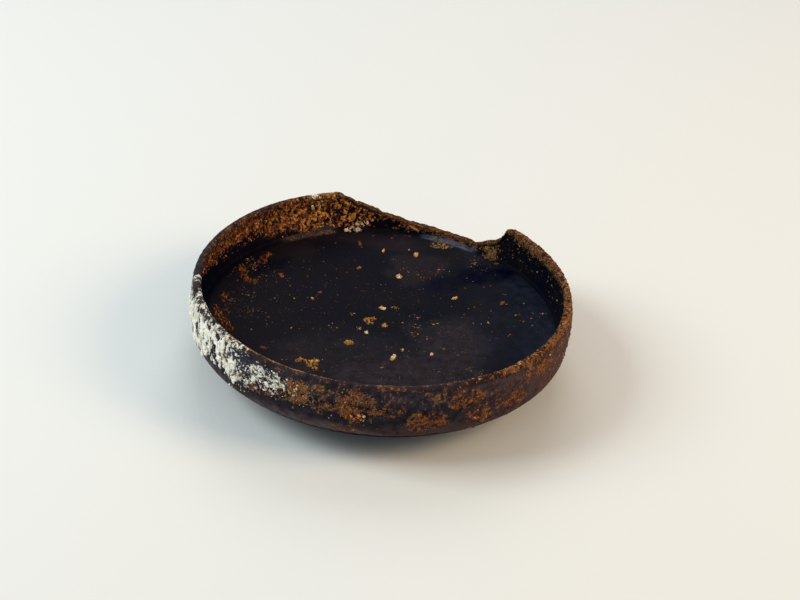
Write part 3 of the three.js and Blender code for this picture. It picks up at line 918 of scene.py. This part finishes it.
def solid_depth(node):
    """Distance inside a solid on the floor, seen from above, and below 0 outside it."""
    mesh = frame["nodes"][node].data
    tree = BVHTree.FromPolygons(
        [vert.co / MM for vert in mesh.vertices],
        [tuple(face.vertices) for face in mesh.polygons],
    )
    low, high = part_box(node)
    height = (high[2] - low[2]) / MM
    half_width = min(high[0] - low[0], high[1] - low[1]) / 2 / MM

    def depth(u, w):
        ground = floor_height(math.hypot(u, w))
        hit = tree.ray_cast(Vector((u, w, DISH_HEIGHT)), DOWN)[0]
        if hit is None:
            near = tree.find_nearest(Vector((u, w, ground)))[0]
            return -math.hypot(near.x - u, near.y - w)
        share = min((hit.z - ground) / height, 1)
        return half_width * (1 - math.sqrt(1 - share * share))

    return depth


def floor_crust(node, ragged, fullness):
    low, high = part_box(node)
    margin = 1.5 * ragged
    inside = solid_depth(node)

    def depth(u, w, here):
        edge = inside(u, w) + ragged * ripple(here, 2.5 * ragged, 4)
        return min(edge, 2 * (fullness - ripple(here, FLOOR_HOLE_SIZE, 3)))

    start = (low[0] / MM - margin, low[1] / MM - margin)
    end = (high[0] / MM + margin, high[1] / MM + margin)
    thickness = (high[2] - low[2]) / MM
    make_crust(node, start, end, FLOOR_CRUST_STEP, depth, on_floor, thickness, FLOOR_TAPER, FLOOR_GRAIN)


def make_worm_tube():
    curve = bpy.data.curves.new("worm_tube_pale", "CURVE")
    curve.dimensions = "3D"
    curve.bevel_depth = WORM_TUBE_RADIUS * MM
    curve.bevel_resolution = 4
    curve.resolution_u = 12
    curve.use_fill_caps = True
    spline = curve.splines.new("NURBS")
    spline.points.add(len(WORM_TUBE_COURSE) - 1)
    for point, (angle, down) in zip(spline.points, WORM_TUBE_COURSE):
        turn = math.radians(angle)
        radius = inside_radius(down) - WORM_TUBE_RADIUS
        height = DISH_HEIGHT - down * WALL_DEPTH
        point.co = (radius * math.cos(turn) * MM, radius * math.sin(turn) * MM, height * MM, 1)
    spline.use_endpoint_u = True
    spline.order_u = 4
    curve.materials.append(FINISHES[SLOTS["worm_tube"]])
    dress(add_object("worm_tube_pale", curve), SLOTS["worm_tube"], "worm_tube")


# Specks: many tiny crumbs, each a dented ball half sunk in the clay

def make_specks(name, slot, count, spot, sizes, seed):
    """Crumbs from the smaller to the larger of two sizes, most of them small."""
    draw = random.Random(seed)
    bm = bmesh.new()
    tone = bm.verts.layers.float.new("grain")
    for _ in range(count):
        place, normal = spot(draw)
        size = mix(sizes[0], sizes[1], draw.random() ** 3)
        turn = Matrix.Rotation(draw.uniform(0, 2 * math.pi), 4, "Z")
        stretch = Matrix.Diagonal((size, size * draw.uniform(0.4, 0.9), size * SPECK_FLATNESS, 1))
        stand = UP.rotation_difference(normal).to_matrix().to_4x4()
        matrix = Matrix.Translation(place * MM) @ stand @ turn @ stretch @ Matrix.Scale(MM / 2, 4)
        ball = bmesh.ops.create_icosphere(bm, subdivisions=1, radius=1, matrix=matrix)
        shade = draw.uniform(-0.4, 0.9)
        for vert in ball["verts"]:
            vert[tone] = shade
            vert.co += Vector(noise.noise_vector(vert.co / MM * DENTS_PER_MM)) * DENT_DEPTH * MM * sizes[0]
            vert.co.z = min(vert.co.z, HIGHEST * MM)
    dress(to_object(bm, name, FINISHES[slot]), slot)


def spot_in(blots, draw):
    """A random place in one of the blots, more often in the large and strong ones."""
    weights = [blot[2] * blot[3] * blot[4] for blot in blots]
    x, y, half_x, half_y = draw.choices(blots, weights)[0][:4]
    return x + half_x * draw.gauss(0, 0.5), y + half_y * draw.gauss(0, 0.5)


def wall_spot(side, blots, rise=0.05):
    lowest = HEEL_DROP - 1 if side == OUTSIDE else WALL_DEPTH - 2

    def spot(draw):
        while True:
            angle, drop = spot_in(blots, draw)
            turn = math.radians(angle)
            height = DISH_HEIGHT - min(max(drop, UNDER_LIP), lowest)
            place = on_wall(side, side * turn * BELLY_RADIUS, height, rise)
            if place.z < top_of_wall(place):
                return place, Vector((side * math.cos(turn), side * math.sin(turn), 0))
    return spot


def floor_spot(draw):
    radius = (FLOOR_RADIUS - 1) * math.sqrt(draw.random())
    angle = draw.uniform(0, 2 * math.pi)
    return on_floor(radius * math.cos(angle), radius * math.sin(angle), 0.1), UP


def gathered_floor_spot(blots):
    def spot(draw):
        while True:
            x, y = spot_in(blots, draw)
            if math.hypot(x, y) < FLOOR_RADIUS - 1:
                return on_floor(x, y, 0.1), UP
    return spot


def lip_spot(start, end):
    """On the lip from one angle to another."""
    def spot(draw):
        angle = math.radians(draw.uniform(start, end))
        turn = draw.uniform(0.1, 0.9) * math.pi
        radius, height = lip_place(turn)
        normal = Vector((math.cos(turn) * math.cos(angle), math.cos(turn) * math.sin(angle), math.sin(turn)))
        place = Vector((radius * math.cos(angle), radius * math.sin(angle), height))
        return place + lean(place), normal
    return spot


# Materials: a small helper over the node tree, with noise sizes in millimetres

COLOUR_A = 6  # sockets of the Mix node that carry colours
COLOUR_B = 7
COLOUR_OUT = 2


class Finish:
    """A new material whose nodes are added and linked one by one."""

    def __init__(self, name):
        self.material = bpy.data.materials.new(name)
        self.material.use_nodes = True
        self.nodes = self.material.node_tree.nodes
        self.links = self.material.node_tree.links
        self.shader = self.nodes["Principled BSDF"]
        self.place = self.add("TexCoord").outputs["Object"]

    def put(self, value, socket):
        if isinstance(value, tuple):
            socket.default_value = (*value, 1)
        elif isinstance(value, (int, float)):
            socket.default_value = value
        else:
            self.links.new(value, socket)

    def add(self, kind, **inputs):
        """A new node, with a number, a colour or a link for each input that is named."""
        node = self.nodes.new("ShaderNode" + kind)
        for name, value in inputs.items():
            self.put(value, node.inputs[name.replace("_", " ")])
        return node

    def noise(self, size, detail=5, roughness=0.6):
        scale = 1 / (size * MM)
        node = self.add("TexNoise", Scale=scale, Detail=detail, Roughness=roughness, Vector=self.place)
        return node.outputs["Fac"]

    def attribute(self, name):
        node = self.add("Attribute")
        node.attribute_name = name
        return node.outputs["Fac"]

    def ramp(self, value, low, high, low_to=0.0, high_to=1.0):
        node = self.add("MapRange", From_Min=low, From_Max=high, To_Min=low_to, To_Max=high_to, Value=value)
        node.interpolation_type = "SMOOTHSTEP"
        return node.outputs["Result"]

    def maths(self, operation, a, b):
        node = self.add("Math")
        node.operation = operation
        self.put(a, node.inputs[0])
        self.put(b, node.inputs[1])
        return node.outputs["Value"]

    def weighted(self, *terms):
        """The sum of (value, weight) pairs."""
        total = 0.0
        for value, weight in terms:
            total = self.maths("ADD", total, self.maths("MULTIPLY", value, weight))
        return total

    def blend(self, share, first, second):
        node = self.add("Mix")
        node.data_type = "RGBA"
        self.put(share, node.inputs["Factor"])
        self.put(first, node.inputs[COLOUR_A])
        self.put(second, node.inputs[COLOUR_B])
        return node.outputs[COLOUR_OUT]

    def cover(self, density, pattern):
        """Where a deposit covers the clay: nowhere at density 0 and nearly everywhere at density 1."""
        return self.ramp(self.weighted((pattern, 1), (density, 0.42)), 0.69, 0.76)

    def relief(self, height, distance):
        return self.add("Bump", Distance=distance * MM, Height=height).outputs["Normal"]

    def finish(self, colour, roughness, normal, specular):
        self.put(colour, self.shader.inputs["Base Color"])
        self.put(roughness, self.shader.inputs["Roughness"])
        self.put(normal, self.shader.inputs["Normal"])
        self.put(specular, self.shader.inputs["Specular IOR Level"])
        return self.material


def slip_finish():
    """Satin black slip under rust, ochre and lime films, with bare clay at the fracture."""
    f = Finish("black_slip")
    clouds = f.noise(26, 4)
    medium = f.noise(6, 5, 0.65)
    fine = f.noise(1.7, 6, 0.7)
    speck = f.noise(1.3, 2)
    dust = f.noise(0.8, 3)
    colour = f.blend(f.attribute("warm"), (0.0018, 0.003, 0.0075), (0.062, 0.027, 0.023))
    colour = f.blend(f.ramp(clouds, 0.38, 0.68, 0, 0.5), colour, (0.0065, 0.0052, 0.0062))
    # Painted sheen: pale blue, turning warm grey where the slip is warmer, laid over the slip's colour
    sheen_share = f.maths("MULTIPLY", f.attribute("sheen"), f.ramp(medium, 0.3, 0.62, 0.2, 1))
    sheen_colour = f.blend(f.ramp(f.attribute("warm"), 0.02, 0.09), (0.065, 0.088, 0.15), (0.12, 0.1, 0.115))
    colour = f.blend(sheen_share, colour, sheen_colour)
    colour = f.blend(f.ramp(fine, 0.52, 0.76, 0, 0.3), colour, (0.03, 0.019, 0.013))

    # A deeper, bluer black where the dark density is high
    dark = f.maths("MULTIPLY", f.attribute("dark"), f.ramp(medium, 0.3, 0.6, 0.5, 1))
    colour = f.blend(dark, colour, (0.0004, 0.0014, 0.008))

    rust_pattern = f.weighted((speck, 0.3), (f.noise(3, 3), 0.3), (fine, 0.15), (medium, 0.25))
    rust = f.cover(f.attribute("rust"), rust_pattern)
    rust_colour = f.blend(f.ramp(dust, 0.4, 0.58), (0.045, 0.02, 0.014), (0.26, 0.09, 0.032))
    rust_colour = f.blend(f.ramp(clouds, 0.42, 0.6, 0, 0.5), rust_colour, (0.19, 0.09, 0.042))
    rust_colour = f.blend(f.ramp(fine, 0.56, 0.7, 0, 0.85), rust_colour, (0.55, 0.25, 0.1))
    colour = f.blend(f.maths("MULTIPLY", rust, 0.92), colour, rust_colour)

    ochre = f.cover(f.attribute("ochre"), f.weighted((f.noise(1.4, 3), 0.7), (f.noise(7, 3), 0.3)))
    colour = f.blend(ochre, colour, f.blend(f.ramp(dust, 0.4, 0.6), (0.1, 0.05, 0.016), (0.36, 0.19, 0.065)))

    pale = f.cover(f.attribute("pale"), f.weighted((f.noise(2.2, 5, 0.65), 0.6), (f.noise(9, 4), 0.4)))
    colour = f.blend(pale, colour, f.blend(f.ramp(dust, 0.35, 0.6), (0.3, 0.24, 0.17), (0.84, 0.81, 0.73)))

    broken = f.attribute("fracture")
    clay = f.blend(f.ramp(fine, 0.44, 0.64), (0.012, 0.007, 0.007), (0.16, 0.055, 0.018))
    clay = f.blend(f.ramp(dust, 0.56, 0.68, 0, 0.7), clay, (0.36, 0.19, 0.07))
    colour = f.blend(broken, colour, clay)

    deposits = f.maths("MAXIMUM", f.maths("MAXIMUM", rust, ochre), f.maths("MAXIMUM", pale, broken))
    roughness = f.weighted((f.ramp(fine, 0.3, 0.7, 0.5, 0.64), 1), (deposits, 0.34))
    normal = f.relief(f.weighted((fine, 0.6), (deposits, 0.8), (dust, 0.3)), 0.35)
    return f.finish(colour, roughness, normal, f.ramp(dark, 0, 1, 0.022, 0.01))


def foot_finish():
    f = Finish("foot_slip")
    clouds = f.noise(16, 5)
    fine = f.noise(2, 7, 0.7)
    colour = f.blend(f.ramp(clouds, 0.38, 0.62), (0.013, 0.01, 0.01), (0.06, 0.027, 0.014))
    colour = f.blend(f.ramp(fine, 0.54, 0.68, 0, 0.7), colour, (0.2, 0.1, 0.045))
    return f.finish(colour, f.ramp(fine, 0.2, 0.8, 0.5, 0.8), f.relief(fine, 0.3), 0.25)


def crust_finish(name, hollow_shade, middle, top, stain, stained):
    """A dry mineral crust: dark hollows between grains, light tops, and stains in drifts.

    The hollows' dark is partly painted shade between the grains, and the tops' light partly a painted
    highlight.
    """
    f = Finish(name)
    sand = f.noise(0.8, 4, 0.65)
    tone = f.weighted((f.attribute("grain"), 0.45), (sand, 0.85), (f.noise(3, 4), 0.65))
    colour = f.blend(f.ramp(tone, 0.68, 0.94), hollow_shade, middle)
    colour = f.blend(f.ramp(tone, 1.0, 1.16), colour, top)
    drifts = f.ramp(f.noise(6, 6, 0.7), 0.46, 0.62, 0, stained)
    colour = f.blend(drifts, colour, stain)
    return f.finish(colour, f.ramp(sand, 0.3, 0.7, 0.75, 0.95), f.relief(sand, 0.4), 0.15)


# Stage, light and camera

TABLE_REACH = 4
TABLE_COLOUR = (0.705, 0.698, 0.676)
ROOM_COLOUR = (0.86, 0.94, 1, 1)
ROOM_STRENGTH = 0.4

# Soft lights: name, place, size, power, colour
LIGHTS = [
    ("soft_left", (-1.6, -0.15, 1.35), 1.1, 33, (0.86, 0.97, 1.0)),
    ("soft_right", (1.6, -0.3, 1.2), 0.9, 24, (1.0, 0.74, 0.46)),
    ("soft_back", (0, 1.5, 1.5), 1.2, 12, (1.0, 1.0, 1.0)),
]


def make_table():
    bm = bmesh.new()
    bmesh.ops.create_grid(bm, x_segments=2, y_segments=2, size=TABLE_REACH)
    f = Finish("pale_table")
    f.finish(TABLE_COLOUR, 0.85, f.relief(f.noise(3, 5), 0.1), 0.2)
    to_object(bm, "table", f.material, False)


def add_light(name, place, size, power, colour):
    lamp = bpy.data.lights.new(name, "AREA")
    lamp.shape = "SQUARE"
    lamp.size = size
    lamp.energy = power
    lamp.color = colour
    light = add_object(name, lamp)
    light.location = place
    light.rotation_euler = (-Vector(place)).to_track_quat("-Z", "Y").to_euler()


def light_scene():
    for light in LIGHTS:
        add_light(*light)
    world = bpy.data.worlds.new("pale_room")
    world.use_nodes = True
    world.node_tree.nodes["Background"].inputs["Color"].default_value = ROOM_COLOUR
    world.node_tree.nodes["Background"].inputs["Strength"].default_value = ROOM_STRENGTH
    bpy.context.scene.world = world
    bpy.context.scene.view_settings.view_transform = "Standard"


def add_camera():
    data = bpy.data.cameras.new("photo_camera")
    data.sensor_width = SENSOR_WIDTH
    data.lens = FOCAL_PIXELS * SENSOR_WIDTH / PHOTO_SIZE[0]
    camera = add_object("photo_camera", data)
    back = Vector((0, -math.cos(CAMERA_ELEVATION), math.sin(CAMERA_ELEVATION)))
    right = Vector((1, 0, 0))
    up = back.cross(right)
    towards = Vector((
        (RIM_CENTRE_PIXEL[0] - PHOTO_SIZE[0] / 2) / FOCAL_PIXELS,
        (PHOTO_SIZE[1] / 2 - RIM_CENTRE_PIXEL[1]) / FOCAL_PIXELS,
        -1,
    )).normalized()
    aim = Vector((0, 0, -1)).rotation_difference(towards).to_matrix()
    to_camera = aim @ Matrix.Rotation(CAMERA_ROLL, 3, "Z") @ Matrix((right, up, back))
    place = Vector((0, 0, DISH_HEIGHT)) + back * CAMERA_DISTANCE
    camera.matrix_world = Matrix.Translation(place * MM) @ to_camera.transposed().to_4x4()
    bpy.context.scene.camera = camera


# Dry crusts: the colours of hollows, middles, tops and stains, and how strong the stains are. The hollows'
# dark is partly painted shade and the tops' light partly a painted highlight
CRUST_COLOURS = {
    "white_lime": ((0.3, 0.24, 0.17), (0.88, 0.84, 0.73), (0.95, 0.92, 0.84), (0.45, 0.34, 0.2), 0.5),
    "rusty_grains": (
        (0.012, 0.005, 0.005), (0.25, 0.07, 0.013), (0.74, 0.33, 0.1), (0.014, 0.007, 0.01), 0.9,
    ),
    "ochre_grains": (
        (0.03, 0.014, 0.005), (0.3, 0.13, 0.028), (0.62, 0.36, 0.11), (0.12, 0.05, 0.015), 0.4,
    ),
    "cream_grains": ((0.16, 0.062, 0.014), (0.55, 0.31, 0.11), (0.92, 0.82, 0.64), (0.3, 0.14, 0.04), 0.3),
    "grey_lime": ((0.2, 0.12, 0.07), (0.62, 0.44, 0.29), (0.88, 0.72, 0.54), (0.3, 0.18, 0.1), 0.4),
    "olive_grains": ((0.03, 0.016, 0.005), (0.3, 0.17, 0.025), (0.55, 0.35, 0.06), (0.06, 0.03, 0.01), 0.5),
    "golden_grains": ((0.05, 0.02, 0.006), (0.42, 0.19, 0.04), (0.88, 0.62, 0.3), (0.2, 0.08, 0.02), 0.4),
}

CRUSTS = {name: crust_finish(name, *colours) for name, colours in CRUST_COLOURS.items()}

# Each slot's usual finish
FINISHES = {
    "dark_slip": slip_finish(),
    "foot_slip": foot_finish(),
    "white_crust": CRUSTS["white_lime"],
    "rust_crust": CRUSTS["rusty_grains"],
    "ochre_crust": CRUSTS["ochre_grains"],
    "cream_crust": CRUSTS["cream_grains"],
}

# Pieces whose finish isn't their slot's usual one
OWN_FINISH = {
    "crust_front_left": CRUSTS["golden_grains"],
    "crumb_right_white": CRUSTS["cream_grains"],
    "crumb_front_white": CRUSTS["cream_grains"],
    "pale_crust_back": CRUSTS["grey_lime"],
    "ochre_crust_break": CRUSTS["olive_grains"],
}


# How full each crust on the wall is, at an angle and a height

def even(fullness):
    return lambda angle, height: fullness


def white_fullness(angle, height):
    return 0.09 + 0.1 * smooth((angle - 203) / 6) - 0.16 * smooth((angle - 214) / 20)


def grain_fullness(angle, height):
    """Full under the lip and broken low down, with a gap for the hollow."""
    down = (DISH_HEIGHT - height) / WALL_DEPTH
    high = mix(0.21, 0.27, smooth((angle - 112) / 20)) - 0.2 * smooth((angle - 158) / 10)
    low = mix(0.22, -0.24, smooth((angle - 130) / 20))
    return mix(high, low, smooth((down - 0.3) / 0.5)) - within(HOLLOW, angle, height)


# The whole set of crusts and specks

def make_wall_crusts():
    """The numbers are thickness, raggedness, grain and hole size, then come the fullness and the squash."""
    wall_crust("white_crust_left", OUTSIDE, WHITE_CRUST_OUTLINE, 1.3, 2.6, 2, 3.2, white_fullness, 0.42)
    wall_crust("grain_crust_inside", INSIDE, GRAIN_CRUST_OUTLINE, 1.8, 2.6, 1.2, 2.1, grain_fullness, 0.85)
    for node, *oval in OUTSIDE_PATCHES:
        wall_crust(node, OUTSIDE, ragged_oval(*oval), 1, 3.4, 1.8, 3, even(0.02))
    wall_crust("pale_crust_back", INSIDE, PALE_CRUST_OUTLINE, 2.2, 1.4, 1, 1.8, even(0.2))
    wall_crust("ochre_crust_break", INSIDE, ragged_oval(*OCHRE_PATCH), 1.6, 1, 1.2, 3, even(0.3))


def make_floor_crusts():
    for node in SLOTS:
        if node.startswith("crumb_"):
            floor_crust(node, CRUMB_RAGGED, CRUMB_FULLNESS)
        elif node.startswith("crust_"):
            floor_crust(node, LARGE_RAGGED, LARGE_FULLNESS)


# Loose specks: name, slot, count, where they lie, smallest and largest size, step of the seed
SPECKS = [
    ("outside_white_specks", "white_crust", 260, wall_spot(OUTSIDE, WHITE_FLECKS), (0.7, 2.6), 0),
    ("outside_rust_specks", "rust_crust", 800, wall_spot(OUTSIDE, OUTSIDE_RUST), (0.6, 2.2), 1),
    ("inside_rust_specks", "rust_crust", 420, wall_spot(INSIDE, INSIDE_RUST), (0.7, 2.4), 2),
    ("inside_ochre_specks", "ochre_crust", 360, wall_spot(INSIDE, INSIDE_FLECKS), (0.6, 2), 3),
    ("inside_cream_specks", "cream_crust", 110, wall_spot(INSIDE, INSIDE_RUST), (0.6, 1.5), 4),
    ("outside_cream_specks", "cream_crust", 60, wall_spot(OUTSIDE, CREAM_FLECKS), (0.8, 2.6), 10),
    ("floor_fine_specks", "ochre_crust", 300, floor_spot, (0.4, 1.2), 5),
    ("floor_specks", "ochre_crust", 150, gathered_floor_spot(FLOOR_SPECKS), (0.6, 2), 6),
    ("floor_marks", "ochre_crust", 230, gathered_floor_spot(FLOOR_MARKS), (0.8, 2.2), 7),
    ("lip_rust_specks", "rust_crust", 420, lip_spot(*ROUGH_LIP), (0.8, 2.4), 8),
    ("lip_ochre_specks", "ochre_crust", 160, lip_spot(*ROUGH_LIP), (0.7, 2), 9),
    ("lip_cream_specks", "cream_crust", 50, lip_spot(*PALE_LIP), (1.4, 4), 11),
    ("wall_cream_specks", "cream_crust", 50, wall_spot(INSIDE, INSIDE_CREAM_FLECKS, 1.3), (1, 3.4), 12),
]


def make_all_specks():
    for name, slot, count, spot, sizes, step in SPECKS:
        make_specks(name, slot, count, spot, sizes, SEED + step)


make_table()
light_scene()
add_camera()
make_body()
make_foot()
make_wall_crusts()
make_floor_crusts()
make_worm_tube()
make_all_specks()
